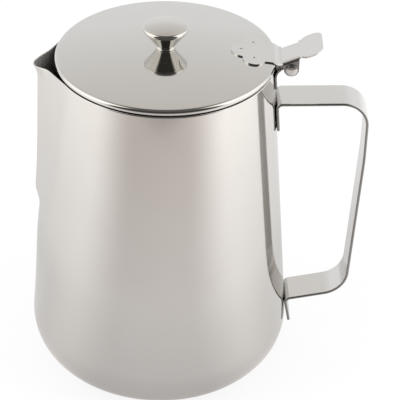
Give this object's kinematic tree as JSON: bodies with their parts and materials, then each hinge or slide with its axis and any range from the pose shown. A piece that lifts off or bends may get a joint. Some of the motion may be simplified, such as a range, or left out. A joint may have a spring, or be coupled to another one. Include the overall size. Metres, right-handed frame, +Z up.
{
  "type": "hot milk jug with lid",
  "caption": "Lidded stainless steel milk jug that narrows to its rim, with a pressed spout, a strap handle and a domed lid that a thumb lever lifts on a hinge.",
  "frame": {"origin": "middle of the flat base, on the surface that the jug stands on", "axes": "+Z up along the jug's axis, +X towards the handle and hinge, -X towards the spout, Y along the hinge pin"},
  "size_m": [0.1748, 0.138, 0.2017],
  "materials": {
    "body_steel": "polished stainless steel sheet",
    "strap_steel": "satin stainless steel strap with bright edges",
    "bracket_steel": "satin stainless steel strip",
    "lid_steel": "polished stainless steel sheet",
    "lever_steel": "satin stainless steel sheet with spot-weld marks",
    "pin_steel": "bright stainless steel, riveted",
    "knob_steel": "mirror-polished turned stainless steel",
    "fixing_steel": "plain stainless steel"
  },
  "bodies": {
    "jug": {"jug_body": "body_steel", "handle": "strap_steel", "hinge_bracket": "bracket_steel"},
    "lid": {"lid": "lid_steel", "thumb_lever": "lever_steel", "hinge_pin": "pin_steel", "knob": "knob_steel", "knob_washer": "fixing_steel", "knob_screw": "fixing_steel"}
  },
  "joints": [
    {"name": "lid_hinge", "type": "hinge", "parent": "jug", "child": "lid", "pos_m": [0.0642, 0, 0.1812], "axis": [0, 1, 0], "range_deg": [0, 110]}
  ]
}
